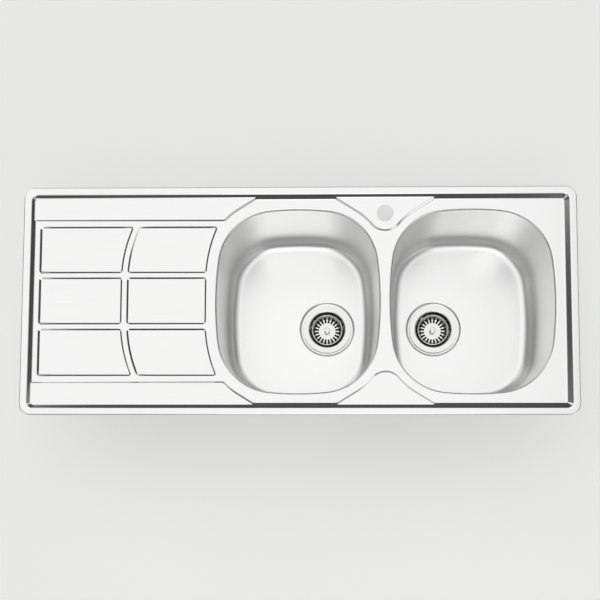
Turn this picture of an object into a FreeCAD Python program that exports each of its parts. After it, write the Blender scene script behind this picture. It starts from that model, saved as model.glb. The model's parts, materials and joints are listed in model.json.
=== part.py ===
import FreeCAD, Part
import math
import os

V = FreeCAD.Vector
UP = V(0, 0, 1)

# Pressed deck; the worktop's surface is z = 0, the back of the sink is +Y and the drainer is at -X
deck_length = 1200.0
deck_width = 500.0
deck_corner_radius = 25.0
sheet = 0.8
rim_height = 6.0
rim_width = 16.0
rim_edge_radius = 3.0
step_run = 10.5
step_corner_radius = 6.0
step_fillet = 2.5
field_drop = 9.0
ledge_drop = 6.0
ledge_slope_run = 3.0
ledge_fillet = 1.0

# Bowls
bowl_length = 352.0
bowl_pitch = 377.5
bowl_end_distance = 49.0
bowl_side_distance = 49.0
bowl_depth = 180.0
bowl_corner_radius = 122.0
bowl_end_radius = 640.0
bowl_side_radius = 740.0
bowl_edge_radius = 5.0
collar_height = 5.5
wall_draft = 3.0
floor_fillet = 28.0

# Drainer
slope_start_gap = 8.0
drain_rise = 1.2
pad_rows = 3
pad_side_distance = 87.2
pad_row_gap = 12.8
pad_end_gap = 11.0
pad_bowl_gap = 24.0
pad_column_gap = 14.0
pad_column_difference = 8.0
pad_bend_radius = 300.0
pad_bend_start = 45.0
pad_rise = 2.2
pad_slope_run = 2.8
pad_corner_radius = 5.0
pad_edge_fillet = 0.9

# Raised shelves beside the drainer, tap ledge and the ledge opposite it
shelf_gap = 15.0
shelf_bowl_gap = 27.5
ledge_bowl_gap = 22.0
ledge_leave_angle = 58.0
tap_hole_radius = 17.5
tap_hole_back = 58.0

# Basket strainer wastes
drain_offset = 63.0
drain_forward = 18.0
waste_hole_radius = 45.0
seat_radius = 61.0
seat_depth = 3.5
seat_slope_run = 4.0
gasket_inner_radius = 46.0
gasket_outer_radius = 55.0
flange_gasket_thickness = 1.5
body_gasket_thickness = 2.0
cup_sheet = 1.0
cup_radius = 42.0
cup_flange_radius = 57.0
cup_depth = 33.0
cup_floor_radius = 32.0
cup_seat_height = 8.0
cup_bend_radius = 3.0
cup_openings = 6
cup_opening_inner = 13.0
cup_opening_outer = 27.0
cup_opening_angle = 42.0
body_wall = 3.0
body_clearance = 1.5
body_flange_radius = 58.0
body_flange_thickness = 4.0
body_cylinder_length = 32.0
body_cone_length = 20.0
outlet_radius = 23.9
outlet_bore_radius = 20.0
outlet_length = 24.0
boss_radius = 9.0
boss_length = 16.0
spider_arms = 3
spider_arm_thickness = 3.0
spider_arm_drop = 3.0
screw_radius = 4.0
thread_clearance = 0.05
screw_hole_clearance = 0.5
screw_head_radius = 8.5
screw_head_height = 7.0
screw_tail = 2.0
screw_slot_width = 1.6
screw_slot_depth = 1.5
socket_radius = 3.6
socket_depth = 6.0

# Lift-out baskets
basket_sheet = 0.7
basket_rim_radius = 36.5
basket_rim_bead = 1.2
basket_rim_below_flange = 5.0
basket_flare = 24.0
basket_depth = 14.0
basket_bend_radius = 3.0
slot_count = 20
slot_width = 4.6
slot_inner_radius = 19.5
slot_outer_radius = 32.5
slot_height = 10.0
knob_radius = 6.5
knob_neck_radius = 4.2
knob_height = 13.0
knob_base_height = 1.2
knob_top_height = 3.5
knob_edge_radius = 1.5
stem_radius = 3.3
stem_bevel = 0.6
stopper_thickness = 2.8
stopper_lip_thickness = 2.0
stopper_lip_height = 2.5
stopper_hub_radius = 17.0
stem_clip_radius = 7.0
stem_clip_thickness = 1.0
slide_gap = 0.3

# Seal, sound pads and worktop clips
seal_inset = 4.0
seal_width = 10.0
sound_pad_length = 90.0
sound_pad_width = 210.0
sound_pad_thickness = 2.5
sound_pad_corner = 12.0
sound_pad_drain_gap = 12.0
clip_edge_distance = 24.0
clip_end_distance = 90.0
clip_bowl_end_distance = 70.0
clip_shelf_end_distance = 64.0
clip_tap_distance = 50.0
bracket_width = 20.0
bracket_sheet = 1.5
bracket_flange = 14.0
bracket_foot = 17.0
bracket_foot_level = -14.0
clip_screw_radius = 2.5
clip_screw_head_radius = 4.6
clip_screw_head_height = 3.4
clip_screw_length = 46.0
clip_screw_tail = 4.0
hook_running_clearance = 0.06
hook_sheet = 1.8
hook_width = 15.0
hook_reach = 32.0
hook_rise = 12.0
hook_bend_radius = 3.0
hook_teeth = 3
hook_tooth_depth = 2.0

# Levels and places that follow from the sizes above
half_length = deck_length / 2
half_width = deck_width / 2
field_z = rim_height - field_drop
ledge_z = rim_height - ledge_drop
field_half_length = half_length - rim_width - step_run
field_half_width = half_width - rim_width - step_run
collar_bottom = field_z - bowl_edge_radius - collar_height
bowl_half_length = bowl_length / 2
bowl_half_width = half_width - bowl_side_distance
right_bowl_x = half_length - bowl_end_distance - bowl_half_length
left_bowl_x = right_bowl_x - bowl_pitch
partition_x = left_bowl_x + bowl_pitch / 2
floor_z = field_z - bowl_depth
drain_places = {"left": left_bowl_x + drain_offset, "right": right_bowl_x - drain_offset}
drain_y = -drain_forward
tap_hole_y = half_width - tap_hole_back
slope_start = left_bowl_x - bowl_half_length - bowl_edge_radius - slope_start_gap
slope_angle = math.atan2(drain_rise, slope_start + field_half_length)
pad_span = deck_width - 2 * pad_side_distance
pad_height = (pad_span - (pad_rows - 1) * pad_row_gap) / pad_rows
pad_start = -field_half_length + pad_end_gap
pads_length = left_bowl_x - bowl_half_length - pad_bowl_gap - pad_start - pad_column_gap
first_pad_length = (pads_length + pad_column_difference) / 2
second_pad_length = (pads_length - pad_column_difference) / 2


def polar(centre, radius, angle, z=0.0):
    return V(centre.x + radius * math.cos(angle), centre.y + radius * math.sin(angle), z)


def circles_meet(first, first_radius, second, second_radius):
    """The crossing of two circles that is farther from the bowl's centre."""
    gap = second - first
    along = (first_radius**2 - second_radius**2 + gap.Length**2) / (2 * gap.Length)
    aside = math.sqrt(first_radius**2 - along**2)
    base = first + gap * (along / gap.Length)
    normal = V(-gap.y, gap.x, 0) * (aside / gap.Length)
    return max(base + normal, base - normal, key=lambda p: p.x + p.y)


bowl_corner = circles_meet(
    V(0, bowl_half_width - bowl_end_radius, 0), bowl_end_radius - bowl_corner_radius,
    V(bowl_half_length - bowl_side_radius, 0, 0), bowl_side_radius - bowl_corner_radius)
side_turn = math.atan2(bowl_corner.y, bowl_corner.x - bowl_half_length + bowl_side_radius)
end_turn = math.atan2(bowl_corner.y - bowl_half_width + bowl_end_radius, bowl_corner.x)


def arc_edge(centre, radius, start, end, z):
    middle = (start + end) / 2
    points = [polar(centre, radius, angle, z) for angle in (start, middle, end)]
    return Part.Arc(*points).toShape()


def line_edge(start, end):
    return Part.LineSegment(start, end).toShape()


def solid_between(low, high):
    return Part.makeLoft([low, high], True, True)


def prism(wire, height):
    return Part.Face(wire).extrude(V(0, 0, height))


def path_wire(points, place):
    """A closed wire of lines (u, z) and arcs (mid u, mid z, end u, end z), set in space by place."""
    edges = []
    last = place(*points[0])
    for point in points[1:] + points[:1]:
        end = place(*point[-2:])
        if len(point) == 4 and point is not points[0]:
            edges.append(Part.Arc(last, place(*point[:2]), end).toShape())
        else:
            edges.append(line_edge(last, end))
        last = end
    return Part.Wire(edges)


def turned(points, x, y=drain_y, base=0.0):
    """A solid of revolution about the upright axis at x, y."""
    wire = path_wire(points, lambda r, z: V(x + r, y, base + z))
    return Part.Face(wire).revolve(V(x, y, 0), UP, 360)


def washer(x, inner, outer, low, high):
    return turned([(inner, low), (outer, low), (outer, high), (inner, high)], x)


def plate(length, width, radius, z):
    """A rectangle with round corners about the origin."""
    x = length / 2 - radius
    y = width / 2 - radius
    corners = [V(x, y, z), V(-x, y, z), V(-x, -y, z), V(x, -y, z)]
    edges = []
    for index, corner in enumerate(corners):
        start = index * math.pi / 2
        edges.append(arc_edge(corner, radius, start, start + math.pi / 2, z))
        following = corners[(index + 1) % 4]
        edges.append(line_edge(polar(corner, radius, start + math.pi / 2, z),
                               polar(following, radius, start + math.pi / 2, z)))
    return Part.Wire(edges)


def bowl_arcs(x):
    """The eight tangent arcs of a bowl's outline as centre, radius, start and end angle."""
    sides = V(bowl_half_length - bowl_side_radius, 0, 0)
    ends = V(0, bowl_half_width - bowl_end_radius, 0)
    pi = math.pi
    arcs = [
        (sides, bowl_side_radius, -side_turn, side_turn),
        (bowl_corner, bowl_corner_radius, side_turn, end_turn),
        (ends, bowl_end_radius, end_turn, pi - end_turn),
        (V(-bowl_corner.x, bowl_corner.y, 0), bowl_corner_radius, pi - end_turn, pi - side_turn),
    ]
    arcs += [(-centre, radius, start + pi, end + pi) for centre, radius, start, end in arcs]
    return [(centre + V(x, 0, 0), radius, start, end) for centre, radius, start, end in arcs]


def bowl_outline(x, grow, z):
    return Part.Wire([arc_edge(c, r + grow, start, end, z) for c, r, start, end in bowl_arcs(x)])


def edges_at(shape, z):
    """The edges that lie in the level plane at z."""
    return [e for e in shape.Edges if abs(e.BoundBox.ZMin - z) < 1e-6 and abs(e.BoundBox.ZMax - z) < 1e-6]


def rounded(wire, radius):
    """The same outline with its corners rounded."""
    block = prism(wire, 10)
    upright = [e for e in block.Edges if e.BoundBox.ZLength > 9]
    z = wire.BoundBox.ZMin
    level = [f for f in block.makeFillet(radius, upright).Faces
             if f.BoundBox.ZLength < 1e-6 and abs(f.BoundBox.ZMin - z) < 1e-6]
    return level[0].OuterWire


def shelf_outline(grow, z):
    """The shelf behind the drainer; its bowl end follows the bowl's corner and then runs into the rim."""
    centre = V(left_bowl_x - bowl_corner.x, bowl_corner.y, 0)
    radius = bowl_corner_radius + shelf_bowl_gap - grow
    front = pad_span / 2 + shelf_gap - grow
    back = half_width - rim_width / 2
    end = -half_length + rim_width / 2
    leave = math.pi - math.radians(ledge_leave_angle)
    start = math.pi - math.asin((front - centre.y) / radius)
    last = polar(centre, radius, leave, z)
    run = (back - last.y) / math.sin(leave - math.pi / 2)
    exit_point = last + V(math.cos(leave - math.pi / 2), math.sin(leave - math.pi / 2), 0) * run
    low = polar(centre, radius, start, z)
    return Part.Wire([
        line_edge(V(end, front, z), low),
        arc_edge(centre, radius, start, leave, z),
        line_edge(last, exit_point),
        line_edge(exit_point, V(end, back, z)),
        line_edge(V(end, back, z), V(end, front, z)),
    ])


def ledge_outline(grow, z):
    """The tap ledge: flanks round the bowls' corners, joined by a tip about the tap hole."""
    left = V(left_bowl_x + bowl_corner.x, bowl_corner.y, 0)
    right = V(right_bowl_x - bowl_corner.x, bowl_corner.y, 0)
    tip = V(partition_x, tap_hole_y, 0)
    radius = bowl_corner_radius + ledge_bowl_gap - grow
    tip_radius = (tip - left).Length - radius
    toward = math.atan2(tip.y - left.y, tip.x - left.x)
    leave = math.radians(ledge_leave_angle)
    back = half_width - rim_width / 2
    first = polar(left, radius, leave, z)
    run = (back - first.y) / math.cos(leave)
    exit_point = first + V(-math.sin(leave), math.cos(leave), 0) * run
    mirror_exit = V(2 * partition_x - exit_point.x, exit_point.y, z)
    mirror_first = V(2 * partition_x - first.x, first.y, z)
    return Part.Wire([
        line_edge(exit_point, first),
        arc_edge(left, radius, leave, toward, z),
        arc_edge(tip, tip_radius, toward + math.pi, 2 * math.pi - toward, z),
        arc_edge(right, radius, math.pi - toward, math.pi - leave, z),
        line_edge(mirror_first, mirror_exit),
        line_edge(mirror_exit, exit_point),
    ])


pad_columns = []
for pad_length, bend_start in ((first_pad_length, False), (second_pad_length, True)):
    pad_columns.append((pad_start, pad_start + pad_length, bend_start))
    pad_start += pad_length + pad_column_gap


def pad_side(x, low, high, grow, z):
    """A pad's side that bends toward the bowl away from the middle row."""
    middle = (low + high) / 2
    if abs(middle) < pad_bend_start:
        return line_edge(V(x + grow, low, z), V(x + grow, high, z))
    centre = V(x + pad_bend_radius, math.copysign(pad_bend_start, middle), 0)
    radius = pad_bend_radius - grow
    angles = [math.pi - math.asin((y - centre.y) / radius) for y in (low, high)]
    return arc_edge(centre, radius, angles[0], angles[1], z)


def pad_outline(column, row, grow, z):
    left, right, left_bends = column
    low = -pad_span / 2 + row * (pad_height + pad_row_gap) - grow
    high = low + pad_height + 2 * grow
    right_side = pad_side(right, low, high, grow, z)
    if left_bends:
        left_side = pad_side(left, low, high, -grow, z)
    else:
        left_side = line_edge(V(left - grow, low, z), V(left - grow, high, z))
    sides = []
    for side in (left_side, right_side):
        ends = sorted((v.Point for v in side.Vertexes), key=lambda p: p.y)
        sides.append(ends)
    wire = Part.Wire(Part.__sortEdges__([
        left_side, right_side,
        line_edge(sides[0][0], sides[1][0]), line_edge(sides[0][1], sides[1][1])]))
    return rounded(wire, pad_corner_radius + grow)


def press_form(depth):
    """All that lies below the pressed sheet's surface, or below a copy of it that is depth further in."""
    base = collar_bottom - 20 * depth
    top = rim_height - depth
    floor = field_z - depth

    def lean(rise, run):
        return depth * math.tan(math.atan2(rise, run) / 2)

    outer = plate(deck_length - 2 * depth, deck_width - 2 * depth, deck_corner_radius - depth, base)
    form = prism(outer, top - base)
    form = form.makeFillet(rim_edge_radius - depth, edges_at(form, top))
    step = lean(field_drop, step_run)
    over = 4.0
    spread = over * step_run / field_drop
    low = plate(2 * (field_half_length + step), 2 * (field_half_width + step), step_corner_radius, floor)
    high = plate(2 * (half_length - rim_width + step + spread), 2 * (half_width - rim_width + step + spread),
                 step_corner_radius + spread, top + over)
    pocket = solid_between(low, high)
    pocket = pocket.makeFillet(step_fillet + depth, edges_at(pocket, floor))
    form = form.cut(pocket)
    inside = [e for e in edges_at(form, top) if abs(e.CenterOfMass.x) < half_length - rim_width / 2
              and abs(e.CenterOfMass.y) < half_width - rim_width / 2]
    form = form.makeFillet(step_fillet - depth, inside)

    reach = 6.0
    far = -half_length + rim_width / 2
    slope = math.tan(slope_angle)
    wedge_width = 2 * (field_half_width + reach)
    wedge = Part.Face(Part.makePolygon([
        V(slope_start + reach, -wedge_width / 2, floor - reach * slope),
        V(far, -wedge_width / 2, floor + (slope_start - far) * slope),
        V(far, -wedge_width / 2, base + 1),
        V(slope_start + reach, -wedge_width / 2, base + 1),
        V(slope_start + reach, -wedge_width / 2, floor - reach * slope),
    ])).extrude(V(0, wedge_width, 0))
    raised = [wedge]

    pad_lean = lean(pad_rise, pad_slope_run)
    sink = 1.0
    for column in pad_columns:
        for row in range(pad_rows):
            bottom = pad_outline(column, row, pad_slope_run * (0.5 + sink / pad_rise) - pad_lean, -sink)
            upper = pad_outline(column, row, -pad_slope_run / 2 - pad_lean, pad_rise)
            pad = solid_between(bottom, upper)
            pad = pad.makeFillet(pad_edge_fillet - depth / 2, edges_at(pad, pad_rise))
            pad.translate(V(-slope_start, 0, 0))
            pad.rotate(V(0, 0, 0), V(0, 1, 0), math.degrees(slope_angle))
            pad.translate(V(slope_start, 0, floor))
            raised.append(pad)

    rise = ledge_z - field_z
    ledge_lean = lean(rise, ledge_slope_run)
    under = 2.0
    for outline in (shelf_outline, ledge_outline):
        bottom = outline(ledge_slope_run * (0.5 + under / rise) - ledge_lean, floor - under)
        upper = outline(-ledge_slope_run / 2 - ledge_lean, ledge_z - depth)
        ledge = solid_between(bottom, upper)
        ledge = ledge.makeFillet(ledge_fillet - depth, edges_at(ledge, ledge_z - depth))
        raised += [ledge, ledge.mirror(V(0, 0, 0), V(0, 1, 0))]
    form = form.multiFuse(raised)

    for x in (left_bowl_x, right_bowl_x):
        opening = prism(bowl_outline(x, depth, base - 1), floor - base + 1)
        rim = prism(bowl_outline(x, bowl_edge_radius, floor), 2.0)
        skirt = prism(bowl_outline(x, bowl_edge_radius, floor - bowl_edge_radius + depth),
                      bowl_edge_radius - depth)
        for arc in bowl_arcs(x):
            skirt = skirt.cut(edge_round(arc, depth, floor))
        form = form.cut(opening.fuse([rim, skirt]))
    return form


def edge_round(arc, depth, floor):
    """The solid that the rounded edge of a bowl leaves standing along one arc of its outline."""
    centre, radius, start, end = arc
    size = bowl_edge_radius - depth
    inner = radius + depth
    outer = radius + bowl_edge_radius
    half = math.sqrt(0.5) * size
    points = [(inner, floor - size), (outer - half, floor - size + half, outer, floor), (outer + 3, floor),
              (outer + 3, floor - size)]
    wire = path_wire(points, lambda r, z: polar(centre, r, start, z))
    return Part.Face(wire).revolve(centre, UP, math.degrees(end - start))


def make_deck():
    deck = press_form(0.0).cut(press_form(sheet))
    skirt = prism(plate(deck_length + 20, deck_width + 20, deck_corner_radius, collar_bottom - 1),
                  -collar_bottom + 1)
    keep = prism(plate(2 * (half_length - rim_width), 2 * (half_width - rim_width), step_corner_radius,
                       collar_bottom - 1), -collar_bottom + 1)
    deck = deck.cut(skirt.cut(keep))
    tap = Part.makeCylinder(tap_hole_radius, 20, V(partition_x, tap_hole_y, ledge_z - 10))
    return deck.cut(tap)


def make_bowl(x, drain_x):
    """A drawn bowl: one wall profile carried round the eight arcs, a flat floor and a recessed waste seat."""
    draft = math.radians(wall_draft)
    top = collar_bottom
    centre_z = floor_z + floor_fillet
    reach = (floor_fillet - (centre_z - top) * math.sin(draft)) / math.cos(draft)
    half = (draft + math.pi / 2) / 2

    def on_fillet(radius, angle):
        return (reach - radius * math.cos(angle), centre_z - radius * math.sin(angle))

    outside = floor_fillet + sheet
    profile = [
        (0, top),
        on_fillet(floor_fillet, draft),
        on_fillet(floor_fillet, half) + (reach, floor_z),
        (reach, floor_z - sheet),
        on_fillet(outside, half) + on_fillet(outside, draft),
        (-sheet / math.cos(draft), top),
    ]
    pieces = []
    for centre, radius, start, end in bowl_arcs(x):
        wire = path_wire(profile, lambda d, z: polar(centre, radius - d, start, z))
        pieces.append(Part.Face(wire).revolve(centre, UP, math.degrees(end - start)))
    floor = prism(bowl_outline(x, -reach, floor_z - sheet), sheet)
    mouth = seat_radius + seat_slope_run
    floor = floor.cut(Part.makeCylinder(mouth, 4 * sheet, V(drain_x, drain_y, floor_z - 2 * sheet)))
    seat = turned([
        (mouth, 0), (seat_radius, -seat_depth), (waste_hole_radius, -seat_depth),
        (waste_hole_radius, -seat_depth - sheet), (seat_radius + sheet / 2, -seat_depth - sheet),
        (mouth, -sheet)], drain_x, base=floor_z)
    return pieces[0].multiFuse(pieces[1:] + [floor, seat]).removeSplitter()


seat_z = floor_z - seat_depth
flange_z = seat_z + flange_gasket_thickness
cup_floor_z = flange_z + cup_sheet - cup_depth
body_top_z = seat_z - sheet - body_gasket_thickness


def make_cup(x):
    """The strainer cup: a rolled flange, a straight wall, the stopper's seat and an open floor."""
    bend = cup_bend_radius
    bow = bend * (1 - math.sqrt(0.5))
    seat_top = cup_floor_z + cup_seat_height
    flange_top = flange_z + cup_sheet
    outer = cup_radius + cup_sheet
    out_bend = bend - cup_sheet
    out_bow = out_bend * (1 - math.sqrt(0.5))
    screw_hole = screw_radius + screw_hole_clearance
    cup = turned([
        (cup_flange_radius, flange_z), (cup_flange_radius - cup_sheet, flange_top),
        (cup_radius + bend, flange_top),
        (cup_radius + bow, flange_top - bow, cup_radius, flange_top - bend),
        (cup_radius, seat_top), (cup_floor_radius, cup_floor_z), (screw_hole, cup_floor_z),
        (screw_hole, cup_floor_z - cup_sheet), (cup_floor_radius + cup_sheet, cup_floor_z - cup_sheet),
        (outer, seat_top - cup_sheet / 2), (outer, flange_z - out_bend),
        (outer + out_bow, flange_z - out_bow, outer + out_bend, flange_z)], x)
    spread = math.radians(cup_opening_angle) / 2
    for index in range(cup_openings):
        turn = 2 * math.pi * index / cup_openings
        hub = V(x, drain_y, 0)
        z = cup_floor_z - 2 * cup_sheet
        edges = [
            arc_edge(hub, cup_opening_outer, turn - spread, turn + spread, z),
            line_edge(polar(hub, cup_opening_outer, turn + spread, z),
                      polar(hub, cup_opening_inner, turn + spread, z)),
            arc_edge(hub, cup_opening_inner, turn + spread, turn - spread, z),
            line_edge(polar(hub, cup_opening_inner, turn - spread, z),
                      polar(hub, cup_opening_outer, turn - spread, z)),
        ]
        cup = cup.cut(prism(Part.Wire(edges), 4 * cup_sheet))
    return cup


boss_top_z = cup_floor_z - cup_sheet
body_inner = cup_radius + cup_sheet + body_clearance
body_outer = body_inner + body_wall
cone_top_z = body_top_z - body_flange_thickness - body_cylinder_length
cone_bottom_z = cone_top_z - body_cone_length
outlet_z = cone_bottom_z - outlet_length


def make_waste_body(x):
    """The moulded body below the bowl, with the spider that the centre screw pulls against."""
    body = turned([
        (body_inner, body_top_z), (body_flange_radius, body_top_z),
        (body_flange_radius, body_top_z - body_flange_thickness), (body_outer, body_top_z - body_flange_thickness),
        (body_outer, cone_top_z), (outlet_radius, cone_bottom_z), (outlet_bore_radius, cone_bottom_z),
        (body_inner, cone_top_z)], x)
    boss = Part.makeCylinder(boss_radius, boss_length, V(x, drain_y, boss_top_z - boss_length))
    arm_height = boss_length - spider_arm_drop
    arms = []
    for index in range(spider_arms):
        arm = Part.makeBox(body_inner + body_wall / 2, spider_arm_thickness, arm_height,
                           V(x, drain_y - spider_arm_thickness / 2, boss_top_z - boss_length))
        arm.rotate(V(x, drain_y, 0), UP, 360 * index / spider_arms)
        arms.append(arm)
    outside = turned([(0, body_top_z), (body_outer, body_top_z), (body_outer, cone_top_z),
                      (outlet_radius, cone_bottom_z), (0, cone_bottom_z)], x)
    spider = boss.multiFuse(arms).common(outside)
    hole = Part.makeCylinder(screw_radius + thread_clearance, boss_length + 2,
                             V(x, drain_y, boss_top_z - boss_length - 1))
    return body.fuse(spider).cut(hole)


def make_centre_screw(x):
    head_top = cup_floor_z + screw_head_height
    bevel = 1.5
    screw = turned([
        (0, boss_top_z - boss_length - screw_tail), (screw_radius, boss_top_z - boss_length - screw_tail),
        (screw_radius, cup_floor_z), (screw_head_radius, cup_floor_z), (screw_head_radius, head_top - bevel),
        (screw_head_radius - bevel, head_top), (socket_radius, head_top),
        (socket_radius, head_top - socket_depth), (0, head_top - socket_depth)], x)
    slot = Part.makeBox(2 * screw_head_radius, screw_slot_width, screw_slot_depth,
                        V(x - screw_head_radius, drain_y - screw_slot_width / 2, head_top - screw_slot_depth))
    return screw.cut(slot)


basket_rim_z = flange_z + cup_sheet - basket_rim_below_flange
basket_floor_z = basket_rim_z - basket_depth
stem_bottom_z = cup_floor_z + screw_head_height - socket_depth + slide_gap
clip_z = cup_floor_z + screw_head_height + slide_gap


def make_basket(x):
    """A pressed basket: flared wall, rolled rim and a ring of drain slots that run up from its floor."""
    flare = math.radians(basket_flare)
    half_way = (math.pi / 2 + flare) / 2
    bend = basket_bend_radius
    low = basket_floor_z - basket_sheet
    rim_inner = basket_rim_radius - 2 * basket_rim_bead
    wall_height = basket_depth - basket_rim_bead - bend * (1 - math.sin(flare))
    floor_radius = rim_inner - wall_height * math.tan(flare) - bend * math.cos(flare)

    def on_bend(radius, angle):
        return (floor_radius + radius * math.cos(angle), basket_floor_z + bend - radius * math.sin(angle))

    outside = bend + basket_sheet
    under_rim = rim_inner - basket_rim_bead * math.tan(flare) + basket_sheet / math.cos(flare)
    basket = turned([
        (stem_radius, basket_floor_z), (floor_radius, basket_floor_z),
        on_bend(bend, half_way) + on_bend(bend, flare),
        (rim_inner, basket_rim_z - basket_rim_bead),
        (basket_rim_radius - basket_rim_bead, basket_rim_z, basket_rim_radius, basket_rim_z - basket_rim_bead),
        (basket_rim_radius - basket_sheet, basket_rim_z - 2 * basket_rim_bead),
        (under_rim, basket_rim_z - 2 * basket_rim_bead),
        on_bend(outside, flare),
        on_bend(outside, half_way) + (floor_radius, low),
        (stem_radius, low)], x)
    cutters = []
    for index in range(slot_count):
        length = slot_outer_radius - slot_inner_radius
        slot = prism(plate(length, slot_width, slot_width / 2 - 0.01, low - 1), slot_height + 1)
        slot.translate(V(x + (slot_inner_radius + slot_outer_radius) / 2, drain_y, 0))
        slot.rotate(V(x, drain_y, 0), UP, 360 * (index + 0.5) / slot_count)
        cutters.append(slot)
    return basket.cut(cutters)


def make_knob(x):
    """The pull knob, with the stem that passes the floor and drops into the centre screw."""
    top = basket_floor_z + knob_height
    base = basket_floor_z + knob_base_height
    under = top - knob_top_height
    flare = knob_radius - knob_neck_radius
    edge = knob_edge_radius
    bow = edge * (1 - math.sqrt(0.5))
    return turned([
        (0, stem_bottom_z), (stem_radius - stem_bevel, stem_bottom_z), (stem_radius, stem_bottom_z + stem_bevel),
        (stem_radius, basket_floor_z), (knob_radius, basket_floor_z), (knob_radius, base),
        (knob_neck_radius, base + flare), (knob_neck_radius, under - flare),
        (knob_radius, under), (knob_radius, top - edge),
        (knob_radius - bow, top - bow, knob_radius - edge, top), (0, top)], x)


def make_stopper(x):
    """The rubber stopper under the basket, whose lip rests on the cup's conical seat."""
    top = basket_floor_z - basket_sheet
    hub_bottom = clip_z + stem_clip_thickness
    rise = cup_seat_height / (cup_radius - cup_floor_radius)
    lip_low = cup_floor_z + stopper_lip_height
    lip_radius = cup_floor_radius + (lip_low - cup_floor_z) / rise - slide_gap * math.sqrt(1 + 1 / rise**2)
    tilt = stopper_lip_thickness * rise
    return turned([
        (stem_radius, top), (stopper_hub_radius, top),
        (lip_radius + stopper_lip_thickness, lip_low + tilt), (lip_radius, lip_low),
        (lip_radius - 2 * stopper_lip_thickness, lip_low), (stopper_hub_radius - 1, top - stopper_thickness),
        (stem_clip_radius + 1, top - stopper_thickness), (stem_clip_radius + 1, hub_bottom),
        (stem_radius, hub_bottom)], x)


def make_clip_parts(x, side):
    """Bracket, screw and hook of one worktop clip at the back, turned half round for the front."""
    flat = sheet + (field_drop if x > right_bowl_x else ledge_drop)
    weld_z = rim_height - flat
    axis_y = half_width - clip_edge_distance
    foot_back = axis_y + bracket_foot / 2
    web_y = foot_back - bracket_foot
    foot_top = bracket_foot_level + bracket_sheet
    section = [
        V(x, web_y - bracket_flange, weld_z), V(x, web_y + bracket_sheet, weld_z),
        V(x, web_y + bracket_sheet, foot_top), V(x, foot_back, foot_top),
        V(x, foot_back, bracket_foot_level), V(x, web_y, bracket_foot_level),
        V(x, web_y, weld_z - bracket_sheet), V(x, web_y - bracket_flange, weld_z - bracket_sheet),
    ]
    bracket = Part.Face(Part.makePolygon(section + section[:1])).extrude(V(bracket_width, 0, 0))
    bracket.translate(V(-bracket_width / 2, 0, 0))
    hole = Part.makeCylinder(clip_screw_radius + thread_clearance, 4 * bracket_sheet,
                             V(x, axis_y, bracket_foot_level - bracket_sheet))
    bracket = bracket.cut(hole)

    screw_top = foot_top + clip_screw_tail
    head_z = screw_top - clip_screw_length
    screw = Part.makeCylinder(clip_screw_radius, clip_screw_length, V(x, axis_y, head_z))
    head = Part.makeCylinder(clip_screw_head_radius, clip_screw_head_height,
                             V(x, axis_y, head_z - clip_screw_head_height))
    screw = screw.fuse(head).removeSplitter()

    low = head_z + slide_gap
    back = hook_width / 2
    rise = hook_rise + hook_sheet
    bend = hook_bend_radius
    bow = bend * (1 - math.sqrt(0.5))
    inner = bend - hook_sheet
    inner_bow = inner * (1 - math.sqrt(0.5))
    strip = path_wire([
        (-back, 0), (hook_reach - bend, 0), (hook_reach - bow, bow, hook_reach, bend), (hook_reach, rise),
        (hook_reach - hook_sheet, rise), (hook_reach - hook_sheet, bend),
        (hook_reach - hook_sheet - inner_bow, hook_sheet + inner_bow, hook_reach - bend, hook_sheet),
        (-back, hook_sheet)], lambda u, w: V(x + u, axis_y - back, low + w))
    hook = Part.Face(strip).extrude(V(0, hook_width, 0))
    corners = [e for e in hook.Edges if abs(e.BoundBox.XMax - x + back) < 1e-6 and e.BoundBox.ZLength > 1]
    hook = hook.makeFillet(back - 0.5, corners)
    bore = Part.makeCylinder(clip_screw_radius + hook_running_clearance, 4 * hook_sheet,
                             V(x, axis_y, low - hook_sheet))
    teeth = []
    pitch = hook_width / hook_teeth
    for index in range(hook_teeth - 1):
        y = axis_y - back + pitch * (index + 1)
        notch = Part.Face(Part.makePolygon([
            V(x + hook_reach - 2 * hook_sheet, y - pitch / 3, low + rise + 1e-3),
            V(x + hook_reach - 2 * hook_sheet, y, low + rise - hook_tooth_depth),
            V(x + hook_reach - 2 * hook_sheet, y + pitch / 3, low + rise + 1e-3),
            V(x + hook_reach - 2 * hook_sheet, y - pitch / 3, low + rise + 1e-3),
        ])).extrude(V(3 * hook_sheet, 0, 0))
        teeth.append(notch)
    hook = hook.cut([bore] + teeth)
    if side == "front":
        for shape in (bracket, screw, hook):
            shape.rotate(V(x, 0, 0), UP, 180)
    return bracket, screw, hook


def make_sound_pad(bowl_x, drain_x):
    away = math.copysign(1, bowl_x - drain_x)
    edge = drain_x + away * (seat_radius + seat_slope_run + sound_pad_drain_gap)
    pad = prism(plate(sound_pad_length, sound_pad_width, sound_pad_corner, 0), sound_pad_thickness)
    pad.translate(V(edge + away * sound_pad_length / 2, 0, floor_z - sheet - sound_pad_thickness))
    return pad


def make_seal():
    outer = plate(deck_length - 2 * seal_inset, deck_width - 2 * seal_inset, deck_corner_radius - seal_inset, 0)
    inset = seal_inset + seal_width
    inner = plate(deck_length - 2 * inset, deck_width - 2 * inset, deck_corner_radius - inset, 0)
    height = rim_height - sheet
    return prism(outer, height).cut(prism(inner, height))


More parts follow.
